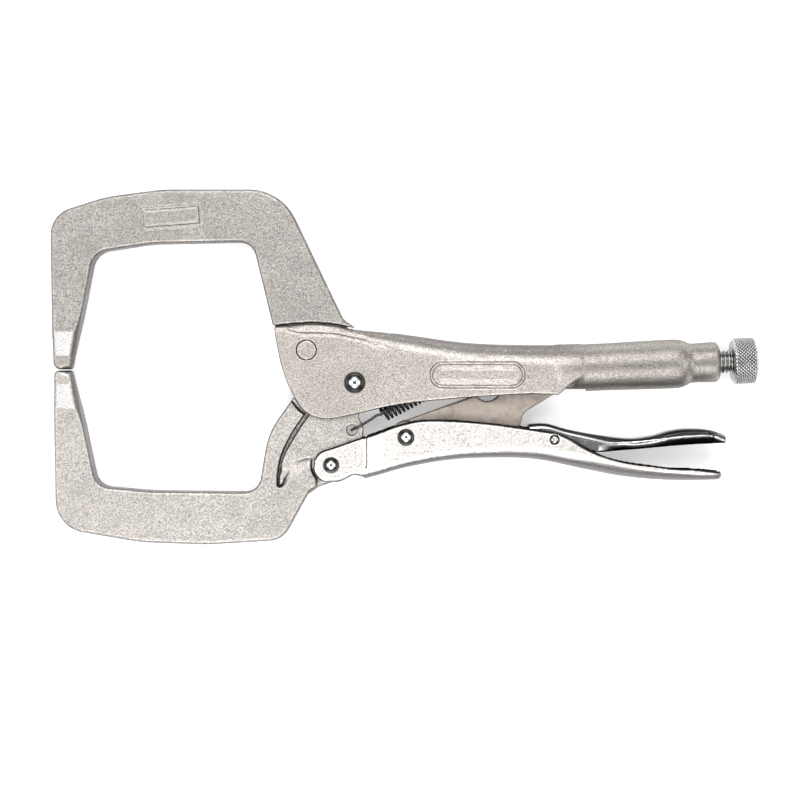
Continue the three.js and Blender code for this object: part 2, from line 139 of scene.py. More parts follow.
SPRING_HOLE = np.array([-1.2, -18.8])
SPRING_HOLE_RADIUS = 2.1
SPRING_LUG = np.array([50.0, 7.6])
SPRING_LUG_RADIUS = 2.0
LINK_END = np.array([86.5, 3.1])
LINK_END_RADIUS = 3.2
SCREW_PITCH = 1.5875
SCREW_RADIUS = 4.76


# ---- outlines ----
def rounded(corners, step=0.5):
    """A closed outline from [x, y, radius] corners, as points no further apart than step on arcs."""
    points = []
    count = len(corners)
    for i, corner in enumerate(corners):
        here = np.array(corner[:2], float)
        radius = corner[2] if len(corner) > 2 else 0.0
        before = np.array(corners[i - 1][:2], float) - here
        after = np.array(corners[(i + 1) % count][:2], float) - here
        before /= np.linalg.norm(before)
        after /= np.linalg.norm(after)
        if radius == 0.0:
            points.append(here)
            continue
        half = math.acos(np.clip(before @ after, -1, 1)) / 2
        bisector = (before + after) / np.linalg.norm(before + after)
        centre = here + bisector * radius / math.sin(half)
        start = here + before * radius / math.tan(half) - centre
        turn = math.pi - 2 * half
        if before[0] * after[1] - before[1] * after[0] > 0:
            turn = -turn
        pieces = max(2, math.ceil(abs(turn) * radius / step))
        first = math.atan2(start[1], start[0])
        for angle in first + turn * np.linspace(0, 1, pieces + 1):
            points.append(centre + radius * np.array([math.cos(angle), math.sin(angle)]))
    return np.array(points)


def spline(points, pieces=8):
    """Points on a smooth curve through all the given points."""
    stops = np.array(points, float)
    ends = np.vstack([2 * stops[0] - stops[1], stops, 2 * stops[-1] - stops[-2]])
    t = np.linspace(0, 1, pieces, endpoint=False)[:, None]
    curve = []
    for a, b, c, d in zip(ends, ends[1:], ends[2:], ends[3:]):
        curve.append(
            0.5 * (2 * b + (c - a) * t + (2 * a - 5 * b + 4 * c - d) * t**2 + (3 * b - a - 3 * c + d) * t**3)
        )
    return np.vstack(curve + [stops[-1:]])


def reading(stops, x):
    """The smooth curve through [x, value] stops, read at x."""
    curve = spline(stops)
    return np.interp(x, curve[:, 0], curve[:, 1])


# ---- distance fields ----
def rise(value, start, end):
    """0 to 1 as the value goes from start to end, which may be the lower of the two."""
    return np.clip((value - start) / (end - start), 0, 1)


class Grid:
    """Sample points of a cubic grid over a box. x, y and z broadcast against each other."""

    def __init__(self, low, high, step):
        self.low = np.array(low, float)
        self.step = step
        axes = [np.arange(a, b + step, step) for a, b in zip(low, high)]
        self.x = axes[0][:, None, None]
        self.y = axes[1][None, :, None]
        self.z = axes[2][None, None, :]


def inside_outline(points, grid):
    """Signed distance in the middle plane from the outline, negative inside."""
    x, y = grid.x[:, :, 0], grid.y[:, :, 0]
    nearest = np.full(np.broadcast(x, y).shape, 1e9)
    crossings = np.zeros(nearest.shape, int)
    for (ax, ay), (bx, by) in zip(points, np.roll(points, -1, axis=0)):
        dx, dy = bx - ax, by - ay
        length = dx * dx + dy * dy
        if length < 1e-12:
            continue
        t = np.clip(((x - ax) * dx + (y - ay) * dy) / length, 0, 1)
        nearest = np.minimum(nearest, (x - ax - t * dx) ** 2 + (y - ay - t * dy) ** 2)
        if ay != by:
            crossings += ((ay > y) != (by > y)) & (x < ax + (y - ay) * dx / dy)
    distance = np.sqrt(nearest)
    return np.where(crossings % 2 == 1, -distance, distance)[:, :, None]


def disc(centre, radius, grid):
    """Signed distance in the middle plane from a circle."""
    return np.hypot(grid.x - centre[0], grid.y - centre[1]) - radius


def greatest(*fields):
    """The greatest of several fields, which is what solids have in common."""
    return functools.reduce(np.maximum, fields)


def ridge(distance, half):
    """The height of a rounded ridge, 1 at its crest and 0 from half away."""
    return np.clip(1 - (distance / half) ** 2, 0, 1)


def corner(a, b, radius):
    """Where two half spaces meet, with a rounded edge of that radius."""
    p, q = a + radius, b + radius
    return np.hypot(np.maximum(p, 0), np.maximum(q, 0)) + np.minimum(np.maximum(p, q), 0) - radius


def fused(a, b, radius):
    """Two solids as one, with a fillet of about that radius between them."""
    h = np.clip(0.5 + 0.5 * (b - a) / radius, 0, 1)
    return b + (a - b) * h - radius * h * (1 - h)


def cut(a, b, ease=0.0):
    """Solid a without solid b, the new edge rounded by ease."""
    return corner(a, -b, ease) if ease else np.maximum(a, -b)


def slab(flat, grid, half, ease):
    """A flat solid of an outline's distance, with rounded edges."""
    return corner(flat, np.abs(grid.z) - half, ease)


def screw_coordinates(grid):
    """Distance along the screw's axis, which reads as x at the knob, and distance from it."""
    dx, dy = grid.x - SCREW_POINT[0], grid.y - SCREW_POINT[1]
    along = dx * SCREW_DIRECTION[0] + dy * SCREW_DIRECTION[1]
    side = dy * SCREW_DIRECTION[0] - dx * SCREW_DIRECTION[1]
    return along + SCREW_POINT[0], np.hypot(side, grid.z)


def channel(grid, web, half, bend, side):
    """A solid bar with the cross-section of a bent sheet's outside, open-ended away from its web."""
    return corner(np.abs(grid.z) - half, side * (grid.y - web), bend)


def sheet(outside, thickness):
    """The outer skin of a solid, as thick as a sheet."""
    return np.maximum(outside, -(outside + thickness))


def drilled(field, grid, holes, ease):
    """A solid with round holes through it, from (centre, radius) pairs."""
    for centre, radius in holes:
        field = cut(field, disc(centre, radius, grid), ease)
    return field


# ---- meshes ----
CORNERS = np.array([(a, b, c) for a in (0, 1) for b in (0, 1) for c in (0, 1)])
EDGES = [(p, q) for p in range(8) for q in range(p) if np.abs(CORNERS[p] - CORNERS[q]).sum() == 1]


def net(name, field, grid):
    """A closed quad mesh on the zero surface of a field, by surface nets."""
    inside = field < 0
    shape = np.array(field.shape) - 1
    corners = [inside[a : a + shape[0], b : b + shape[1], c : c + shape[2]] for a, b, c in CORNERS]
    filled = sum(part.astype(np.int8) for part in corners)
    cells = np.argwhere((filled > 0) & (filled < 8))
    values = np.stack([field[tuple((cells + at).T)] for at in CORNERS], axis=1)
    total = np.zeros((len(cells), 3))
    count = np.zeros(len(cells))
    for p, q in EDGES:
        hit = (values[:, p] < 0) != (values[:, q] < 0)
        share = values[hit, p] / (values[hit, p] - values[hit, q])
        total[hit] += CORNERS[p] + share[:, None] * (CORNERS[q] - CORNERS[p])
        count[hit] += 1
    vertices = grid.low + grid.step * (cells + total / count[:, None])
    number = np.full(tuple(shape), -1)
    number[tuple(cells.T)] = np.arange(len(cells))
    quads = []
    for axis in range(3):
        near = tuple(slice(0, -1) if d == axis else slice(1, -1) for d in range(3))
        far = tuple(slice(1, None) if d == axis else slice(1, -1) for d in range(3))
        u, v = np.eye(3, dtype=int)[(axis + 1) % 3], np.eye(3, dtype=int)[(axis + 2) % 3]
        at = np.argwhere(inside[near] != inside[far])
        starts_inside = inside[near][tuple(at.T)]
        at = at + u + v
        ring = np.stack([number[tuple((at - shift).T)] for shift in (u + v, v, 0 * u, u)], axis=1)
        ring[~starts_inside] = ring[~starts_inside][:, ::-1]
        quads.append(ring)
    return mesh_object(name, vertices, np.vstack(quads))


def mesh_object(name, vertices, faces):
    """A smooth mesh object in the frame, from vertices in millimetres round the jaw pivot."""
    mesh = bpy.data.meshes.new(name)
    placed = np.asarray(vertices, float) * MM + ORIGIN
    mesh.from_pydata(placed.tolist(), [], [list(face) for face in faces])
    mesh.shade_smooth()
    made = bpy.data.objects.new(name, mesh)
    bpy.context.scene.collection.objects.link(made)
    return made


def turned(name, profile, centre, direction, sides=64, radius_of=None):
    """A closed solid of revolution. profile is [along, radius] rows that start and end on the axis."""
    along = np.array(direction, float) / np.linalg.norm(direction)
    helper = np.array([0.0, 1.0, 0.0]) if abs(along[1]) < 0.5 else np.array([0.0, 0.0, 1.0])
    u = np.cross(helper, along)
    u /= np.linalg.norm(u)
    v = np.cross(along, u)
    angles = np.linspace(0, 2 * math.pi, sides, endpoint=False)
    rows = np.array(profile, float)
    vertices, faces = [], []
    for distance, radius in rows[1:-1]:
        out = np.full(sides, radius) if radius_of is None else radius_of(distance, radius, angles)
        ring = np.outer(out * np.cos(angles), u) + np.outer(out * np.sin(angles), v)
        vertices.append(centre + distance * along + ring)
    vertices = np.vstack(vertices)
    first, last = len(vertices), len(vertices) + 1
    vertices = np.vstack([vertices, centre + rows[0, 0] * along, centre + rows[-1, 0] * along])
    rings = len(rows) - 2
    for j in range(sides):
        k = (j + 1) % sides
        faces.append((first, k, j))
        faces.append((last, (rings - 1) * sides + j, (rings - 1) * sides + k))
        for i in range(rings - 1):
            faces.append((i * sides + j, i * sides + k, (i + 1) * sides + k, (i + 1) * sides + j))
    return mesh_object(name, vertices, faces)


def finished(piece, body, nodes, material):
    """Gives a piece its material and the body it rides on, and hides the CAD nodes it stands for."""
    piece.data.materials.append(material)
    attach(piece, body)
    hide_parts(*nodes)


# ---- materials ----
def grey(value, warmth=0.0):
    """A grey that leans to red when warmth is above 0."""
    return (value * (1 + warmth), value, value * (1 - warmth))


class Nodes:
    """A node tree, built one node at a time. A node's input is given as a value or a socket."""

    def __init__(self, tree):
        self.tree = tree

    def add(self, kind, settings=None, **inputs):
        """A node with its settings and inputs."""
        node = self.tree.nodes.new(kind)
        for key, value in (settings or {}).items():
            setattr(node, key, value)
        for key, value in inputs.items():
            self.put(node.inputs[key.replace("_", " ")], value)
        return node

    def put(self, socket, value):
        """Sets a socket, or links it to another."""
        if isinstance(value, bpy.types.NodeSocket):
            self.tree.links.new(value, socket)
        else:
            socket.default_value = (*value, 1) if socket.type == "RGBA" else value

    def math(self, operation, *values):
        """A number worked out from others."""
        node = self.add("ShaderNodeMath", {"operation": operation})
        for socket, value in zip(node.inputs, values):
            self.put(socket, value)
        return node.outputs[0]

    def product(self, first, *others):
        """Numbers multiplied together."""
        for other in others:
            first = self.math("MULTIPLY", first, other)
        return first

    def along(self, vector, axis):
        """A vector's X, Y or Z."""
        return self.add("ShaderNodeSeparateXYZ", Vector=vector).outputs[axis]

    def level(self, factor, low, high, start=0.0, end=1.0):
        """A number between low and high as the factor goes from start to end."""
        node = self.add(
            "ShaderNodeMapRange", Value=factor, From_Min=start, From_Max=end, To_Min=low, To_Max=high
        )
        return node.outputs["Result"]

    def ramp(self, factor, *stops):
        """A colour for a factor, from (position, colour) stops."""
        node = self.add("ShaderNodeValToRGB", Fac=factor)
        elements = node.color_ramp.elements
        while len(elements) < len(stops):
            elements.new(0.5)
        for element, (position, colour) in zip(elements, stops):
            element.position = position
            element.color = (*colour, 1)
        return node.outputs["Color"]

    def mixed(self, factor, first, second, how="MIX"):
        """Two colours mixed."""
        node = self.add("ShaderNodeMix", {"data_type": "RGBA", "blend_type": how}, Factor=factor)
        sockets = {socket.identifier: socket for socket in [*node.inputs, *node.outputs]}
        self.put(sockets["A_Color"], first)
        self.put(sockets["B_Color"], second)
        return sockets["Result_Color"]

    def tinted(self, colour, tint):
        """A colour darkened by a tint."""
        return self.mixed(1.0, colour, tint, "MULTIPLY")


class Shader(Nodes):
    """A procedural material."""

    def __init__(self, name):
        self.material = bpy.data.materials.new(name)
        self.material.use_nodes = True
        super().__init__(self.material.node_tree)
        self.surface = self.tree.nodes["Principled BSDF"]
        coordinates = self.add("ShaderNodeTexCoord").outputs
        self.where = coordinates["Object"]
        self.facing = coordinates["Normal"]

    def noise(self, size, detail, stretch=(1, 1, 1)):
        """Noise whose features are about that many millimetres across."""
        placed = self.add("ShaderNodeMapping", Vector=self.where, Scale=stretch).outputs["Vector"]
        node = self.add("ShaderNodeTexNoise", Vector=placed, Scale=1 / (size * MM), Detail=detail)
        return node.outputs["Fac"]

    def bump(self, height, strength, depth, normal=None):
        """A bump of that depth in millimetres."""
        node = self.add("ShaderNodeBump", Height=height, Strength=strength, Distance=depth * MM)
        if normal is not None:
            self.put(node.inputs["Normal"], normal)
        return node.outputs["Normal"]

    def outward(self):
        """1 where the piece faces straight out to either side of the tool, and 0 on its walls."""
        return self.math("ABSOLUTE", self.along(self.facing, "Z"))

    def flatness(self, start, end):
        """0 on edges and walls, and 1 on flats, as outward goes from start to end."""
        return self.level(self.outward(), 0, 1, start, end)

    def sideways(self, stops):
        """A grey read from how far the piece faces along y, from (y, grey) stops, for painted shade."""
        share = self.level(self.along(self.facing, "Y"), 0, 1, -1, 1)
        return self.ramp(share, *[((y + 1) / 2, grey(value)) for y, value in stops])

    def edges(self, start, end):
        """0 to 1 as the surface's pointiness goes from start to end. It is 0.5 on flats."""
        pointiness = self.add("ShaderNodeNewGeometry").outputs["Pointiness"]
        return self.level(pointiness, 0, 1, start, end)

    def looks(self, **inputs):
        """The material, once its surface has these inputs."""
        for key, value in inputs.items():
            self.put(self.surface.inputs[key.replace("_", " ")], value)
        return self.material


def tip_slope_highlight(shader):
    """1 on the sloped faces beside the jaws' tips, where a highlight is painted, and 0 elsewhere."""
    rear, level, _ = frame_point([TIP_REAR, TIP_LEVEL, 0])
    away = shader.math("ABSOLUTE", shader.math("SUBTRACT", shader.along(shader.where, "Y"), level))
    edge = 0.25 * MM
    start, end = TIP_FLAT * MM, (TIP_FLAT + TIP_SLOPE) * MM
    return shader.product(
        shader.level(away, 0, 1, start - edge, start + edge),
        shader.level(away, 1, 0, end - edge, end + edge),
        shader.level(shader.along(shader.where, "X"), 1, 0, rear - edge, rear + edge),
        shader.flatness(0.9, 0.97),
    )


def barrelled(shader, plain, colour):
    """The plain colour, which gives way on the barrel to one with painted shade, duller straight out and at
    its sides.
    """
    start, end = (frame_point([x, 0, 0])[0] for x in (BARREL_START, BARREL_END))
    stops = ((0.25, 0.4), (0.6, 0.8), (0.86, 1.0), (1.0, 0.6))
    shade = shader.ramp(shader.outward(), *[(place, grey(value)) for place, value in stops])
    rear = shader.level(shader.along(shader.where, "X"), 0, 1, start, end)
    return shader.mixed(rear, plain, shader.tinted(colour, shade))


def sandblasted_plate(
    name, light, dark, warmth, roughness, wall, flats=(0.45, 0.9), barrel=False, tip_highlight=False, sides=()
):
    """Nickel plate over a shot-blasted surface: a fine sparkling grain, with painted shade on walls by the
    wall factor.

    flats is where the walls end, as for flatness. sides adds painted shade by how far it faces along y.
    """
    shader = Shader(name)
    grain = shader.noise(0.5, 3)
    speckle = shader.noise(0.85, 2)
    blotch = shader.noise(14, 3)
    colour = shader.ramp(grain, (0.36, grey(dark, warmth)), (0.6, grey(light, warmth)))
    stained = shader.level(blotch, 0.0, 0.3, 0.35, 0.7)
    colour = shader.mixed(stained, colour, grey(dark * 0.9, warmth * 1.2))
    # Painted shade: walls, which face away from straight out, are darkened by the wall factor.
    walls = shader.tinted(colour, [wall * tint for tint in (0.97, 0.95, 1.03)])
    plain = shader.mixed(shader.flatness(*flats), walls, colour)
    # On the barrel, painted shade takes over from the plain colour.
    if barrel:
        plain = barrelled(shader, plain, colour)
    # Painted shade: concave creases and grooves are darkened almost to black.
    colour = shader.mixed(shader.edges(0.47, 0.41), plain, grey(0.06))
    worn = shader.product(shader.edges(0.56, 0.66), shader.flatness(0.1, 0.3))
    colour = shader.mixed(worn, colour, grey(light, warmth))
    # Painted shade, by how far the surface faces along y.
    if sides:
        colour = shader.tinted(colour, shader.sideways(sides))
    # Painted highlight: the sloped faces beside the jaws' tips are lightened.
    if tip_highlight:
        bright = shader.ramp(grain, (0.36, grey(0.4, 0.02)), (0.6, grey(0.58, 0.02)))
        colour = shader.mixed(tip_slope_highlight(shader), colour, bright)
    return shader.looks(
        Base_Color=colour,
        Metallic=1.0,
        Roughness=shader.level(speckle, roughness - 0.09, roughness + 0.1, 0.3, 0.7),
        Normal=shader.bump(grain, 0.7, 0.1, shader.bump(speckle, 0.6, 0.16)),
    )


def polished(name, tone, roughness, scratch, wall, flats, sides=()):
    """Bright plate with hairline scratches and a faint haze, with painted shade on walls by the wall factor.
    """
    shader = Shader(name)
    haze = shader.noise(5, 3)
    lines = shader.noise(0.5, 2, (0.06, 1, 1))
    colour = shader.ramp(haze, (0.3, grey(tone * 0.93)), (0.7, grey(tone)))
    # Painted shade: walls are darkened by the wall factor.
    walls = shader.ramp(haze, (0.3, grey(tone * wall * 0.8)), (0.7, grey(tone * wall)))
    colour = shader.mixed(shader.flatness(*flats), walls, colour)
    # Painted shade, by how far the surface faces along y.
    if sides:
        colour = shader.tinted(colour, shader.sideways(sides))
    smear = shader.mixed(0.5, shader.ramp(haze, (0.3, grey(0)), (0.7, grey(1))), lines)
    return shader.looks(
        Base_Color=colour,
        Metallic=1.0,
        Roughness=shader.level(smear, roughness * 0.7, roughness * 1.5, 0.2, 0.8),
        Normal=shader.bump(lines, scratch, 0.01),
    )


def forged_steel(name):
    """Heat-treated steel left matt, brown-grey with darker scale."""
    shader = Shader(name)
    scale = shader.noise(3.5, 5)
    grain = shader.noise(0.5, 3)
    colour = shader.ramp(scale, (0.36, (0.25, 0.21, 0.18)), (0.6, (0.40, 0.35, 0.31)))
    return shader.looks(
        Base_Color=shader.mixed(shader.level(grain, 0.0, 0.5, 0.35, 0.7), colour, (0.5, 0.45, 0.41)),
        Metallic=0.9,
        Roughness=shader.level(scale, 0.5, 0.68, 0.3, 0.7),
        Normal=shader.bump(grain, 0.5, 0.06, shader.bump(scale, 0.4, 0.1)),
    )


def spring_wire(name):
    """Dark oil-tempered wire, blotched with lighter grey."""
    shader = Shader(name)
    oxide = shader.noise(1.2, 3)
    return shader.looks(
        Base_Color=shader.ramp(oxide, (0.35, (0.03, 0.03, 0.034)), (0.7, (0.12, 0.12, 0.13))),
        Metallic=0.9,
        Roughness=shader.level(oxide, 0.24, 0.42, 0.3, 0.7),
        Normal=shader.bump(oxide, 0.3, 0.02),
    )


def turned_steel(name, low, high):
    """Turned steel with fine lathe rings round the screw's axis, between two tones, with painted shade and
    highlights.
    """
    shader = Shader(name)
    rings = shader.noise(0.35, 2, (1, 0.04, 0.04))
    stain = shader.noise(3, 3)
    colour = shader.ramp(stain, (0.3, grey(low, 0.03)), (0.65, grey(high, 0.02)))
    # Painted shade: walls are darkened to three tenths of the tone.
    walls = shader.ramp(stain, (0.3, grey(low * 0.3)), (0.65, grey(high * 0.3)))
    colour = shader.mixed(shader.flatness(0.05, 0.7), walls, colour)
    # Painted highlight on the crests of the knurl and thread.
    colour = shader.mixed(shader.edges(0.51, 0.58), colour, grey(0.8))
    return shader.looks(
        # Painted shade: grooves are darkened almost to black.
        Base_Color=shader.mixed(shader.edges(0.49, 0.42), colour, grey(0.05)),
        Metallic=1.0,
        Roughness=shader.level(stain, 0.16, 0.28, 0.3, 0.7),
        Normal=shader.bump(rings, 0.35, 0.02),
    )


NICKEL = sandblasted_plate(
    "nickel_plate", light=0.57, dark=0.27, warmth=0.075, roughness=0.42, wall=0.38, barrel=True
)
# Lit and shaded copies of one nickel plate: the upper jaw's is painted darker and the lower jaw's lighter, as
# painted shade and light.
SHADED_UPPER_NICKEL = sandblasted_plate(
    "shaded_upper_jaw_plate", light=0.46, dark=0.22, warmth=0.06, roughness=0.42, wall=0.42, tip_highlight=True
)
LIT_LOWER_NICKEL = sandblasted_plate(
    "lit_lower_jaw_plate", light=0.60, dark=0.28, warmth=0.06, roughness=0.42, wall=0.38, tip_highlight=True
)
# Painted reflections by how far a surface faces along y: dark bands on the lower handle's and the lever's
# rims.
RIM_SHADE = ((0.15, 1.0), (0.45, 0.08), (0.85, 0.1), (0.95, 0.75))
LEVER_SHADE = (
    (-1.0, 0.7), (-0.85, 0.06), (-0.34, 0.06), (-0.1, 0.8), (0.0, 1.0),
    (0.75, 0.7), (0.87, 0.1), (0.92, 0.1), (0.97, 0.6),
)
SATIN = sandblasted_plate(
    "satin_plate", light=0.86, dark=0.66, warmth=0.045, roughness=0.36, wall=0.25,
    flats=(0.74, 0.97), sides=RIM_SHADE,
)
# On the rivets' domes the small wall factor paints the flanks nearly black, as painted reflection.
CHROME = polished("bright_chrome", tone=0.8, roughness=0.09, scratch=0.15, wall=0.18, flats=(0.75, 0.97))
LEVER_CHROME = polished(
    "lever_chrome", tone=0.7, roughness=0.16, scratch=0.25, wall=0.4, flats=(0.84, 0.985), sides=LEVER_SHADE
)
FORGED = forged_steel("forged_link")
WIRE = spring_wire("spring_wire")
TURNED = turned_steel("turned_steel", low=0.32, high=0.5)
THREAD = turned_steel("thread_steel", low=0.3, high=0.5)


# ---- jaws ----
# The upper handle's top line, which the jaw's full thickness stops above.
UPPER_TOP = [
    [-44, 19], [-32, 22.1], [-18, 23.4], [-8, 22.8], [0, 21.3], [20, 18.9], [45, 15.6], [70, 14.8],
    [92, 15.2],
]


def tip_half(grid, side):
    """Half thickness of a jaw, thinner towards its tip. side is 1 for the upper jaw, -1 for the lower."""
    share = rise(side * (grid.y - TIP_LEVEL), TIP_FLAT, TIP_FLAT + TIP_SLOPE)
    return np.where(grid.x < TIP_REAR, TIP_HALF + (JAW_HALF - TIP_HALF) * share, JAW_HALF)


def tip_ease(grid, side):
    """How far a jaw's edges are rounded, more on the throat's side of its tip."""
    plain, extra = 1.15, 1.7
    share = rise(side * (grid.y - TIP_LEVEL), 22, 14) * rise(grid.x, -116.5, -113.5)
    return plain + extra * np.where(grid.x < TIP_REAR, share, 0)


def cartouche(grid, field):
    """A plain raised frame round a slightly sunk panel on the upper jaw's near side."""
    centre, tilt = np.array([-72.2, 65.2]), math.radians(4.5)
    half_length, half_width = 11.6, 3.9
    height, sink = 0.45, 0.35
    dx, dy = grid.x - centre[0], grid.y - centre[1]
    u = dx * math.cos(tilt) + dy * math.sin(tilt)
    v = dy * math.cos(tilt) - dx * math.sin(tilt)
    border = corner(np.abs(u) - half_length, np.abs(v) - half_width, 0.5)
    raised = height * ridge(border, 0.6)
    sunk = sink * rise(-border, 0.5, 1.5)
    return field + (grid.z > 0) * (sunk - raised)


def upper_jaw():
    """The bent arm, with a tang that goes between the upper handle's plates."""
    grid = Grid((-121.5, 3.4, -7), (2, 78, 7), step=0.45)
    tip = TIP_LEVEL + TIP_GAP / 2
    arm = rounded([
        [-119.1, tip, 2.8], [-120.1, 66.2, 11], [-98, 73.2, 50], [-76, 76.1, 60], [-29.1, 76.1, 20],
        [-4.6, 24.9, 7], [4, 19], [-8, 12], [-29.8, 12], [-40.4, 55.6, 7], [-80, 54.8, 60],
        [-102.9, 51.4, 8], [-109, 19.6, 8], [-111.8, tip, 1],
    ])
    tang = rounded([
        [-31.9, 25], [-30.2, 14], [-27.4, 6.4, 3], [-14, 6], [-4, 6], [0, 14], [-1.5, 19.6, 3], [-6, 25.5],
    ])
    field = slab(inside_outline(arm, grid), grid, tip_half(grid, 1), tip_ease(grid, 1))
    field = cartouche(grid, field)
    # The full thickness ends where the handle's plates start, and the thinner tang goes between them.
    plates = np.maximum(grid.y - reading(UPPER_TOP, grid.x) - GAP, -50 - grid.x)
    field = cut(field, plates, 0.35)
    field = np.minimum(field, slab(inside_outline(tang, grid), grid, TANG_HALF, 0.3))
    field = drilled(field, grid, ((JAW_PIVOT, EYE + 0.8), (FIXED_RIVET, FIXED_HOLE)), 0)
    made = net("upper_jaw_body", field, grid)
    finished(made, "upper_handle", ["upper_jaw"], SHADED_UPPER_NICKEL)


def lower_jaw():
    """The bent arm, with a thinner tang that holds both pivots and the spring's hook."""
    grid = Grid((-120.5, -65.4, -7), (11.5, 11.5, 7), step=0.45)
    tip = TIP_LEVEL - TIP_GAP / 2
    arm = rounded([
        [-118.9, tip, 2], [-111.8, tip, 1], [-108.6, -9, 8], [-101.9, -41, 7], [-80, -42.9, 60],
        [-37.9, -43.4, 7], [-34.2, -20, 30], [-20, 0], [-4, -12], [-4, -38], [-17.4, -42, 4],
        [-28.4, -62.1, 9], [-58, -63.9, 60], [-84, -63, 60], [-117.8, -57.3, 13],
    ])
    recess = rounded([
        [-26.4, -5.4], [-23, -10.4, 12], [-19.4, -13.2], [-24.6, -20.6, 30], [-30.2, -32, 30],
        [-30.6, -41.5, 1], [-27.8, -41.2, 2], [-22.5, -36, 6], [-18, -33.2], [-17.4, -36, 4],
        [-14.2, -39.4], [-12, -50], [6, -50], [6, 20], [-26.4, 20],
    ])
    tang = rounded([
        [-25.4, -7.4], [-7, 6.2], [0, 0], [8.6, -3.5], [5.6, -8.4, 3], [0.8, -12.6, 3], [3.4, -18, 2],
        [2.9, -24, 4], [-2.6, -32.5], [-5.4, -38], [-11.9, -39.6], [-24, -48], [-36, -48], [-34, -24],
    ])
    # How far the arm's sides are sunk, from 0 to 1, in the recess, round the lower pivot and at the rear.
    ease = 0.35 + 7 * rise(grid.x, -29.5, -25.5) * rise(grid.y, -26, -33)
    hollow = -inside_outline(recess, grid) / ease
    eye = -disc(LOWER_PIVOT, 8.2, grid) / 0.4
    sunk = np.clip(greatest(hollow, eye, (grid.x + 15.5) / 0.8), 0, 1)
    half = tip_half(grid, -1) - (JAW_HALF - TANG_HALF + 0.1) * sunk * (grid.x > -40)
    field = slab(inside_outline(arm, grid), grid, half, tip_ease(grid, -1))
    flat = np.minimum(inside_outline(tang, grid), disc(JAW_PIVOT, EYE, grid))
    flat = np.minimum(flat, disc(LOWER_PIVOT, 6.8, grid))
    field = np.minimum(field, slab(flat, grid, TANG_HALF, 0.4))
    # A groove on each side follows the recess's edge, and leaves a thin web in the middle plane.
    arc = spline([
        [-18.6, -12.3], [-21.7, -16.6], [-24.7, -21.4], [-27.6, -26.8],
        [-29.4, -32], [-30.2, -37], [-30.3, -40.6],
    ])
    groove = np.abs(inside_outline(np.vstack([arc, arc[-2:0:-1]]), grid))
    groove_half = 0.35 + 0.5 * rise(grid.y, -41, -21)
    field = cut(field, np.maximum(groove - groove_half, 0.5 - np.abs(grid.z)))
    holes = ((SPRING_HOLE, SPRING_HOLE_RADIUS), (JAW_PIVOT, JAW_HOLE), (LOWER_PIVOT, HANDLE_HOLE))
    field = drilled(field, grid, holes, 0.25)
    made = net("lower_jaw_body", field, grid)
    finished(made, "lower_jaw", ["lower_jaw"], LIT_LOWER_NICKEL)


# ---- upper handle ----
def emblem(grid):
    """Height of a plain double rim in the shape of a stadium, pressed into the handle's side."""
    centre, half_length, half_width = np.array([48.2, 3.0]), 13.5, 4.6
    height, inner_share, inset = 0.75, 0.6, 1.8
    dx = np.maximum(np.abs(grid.x - centre[0]) - half_length, 0)
    edge = np.hypot(dx, grid.y - centre[1]) - half_width
    return height * np.maximum(ridge(edge, 0.7), inner_share * ridge(edge + inset, 0.6))


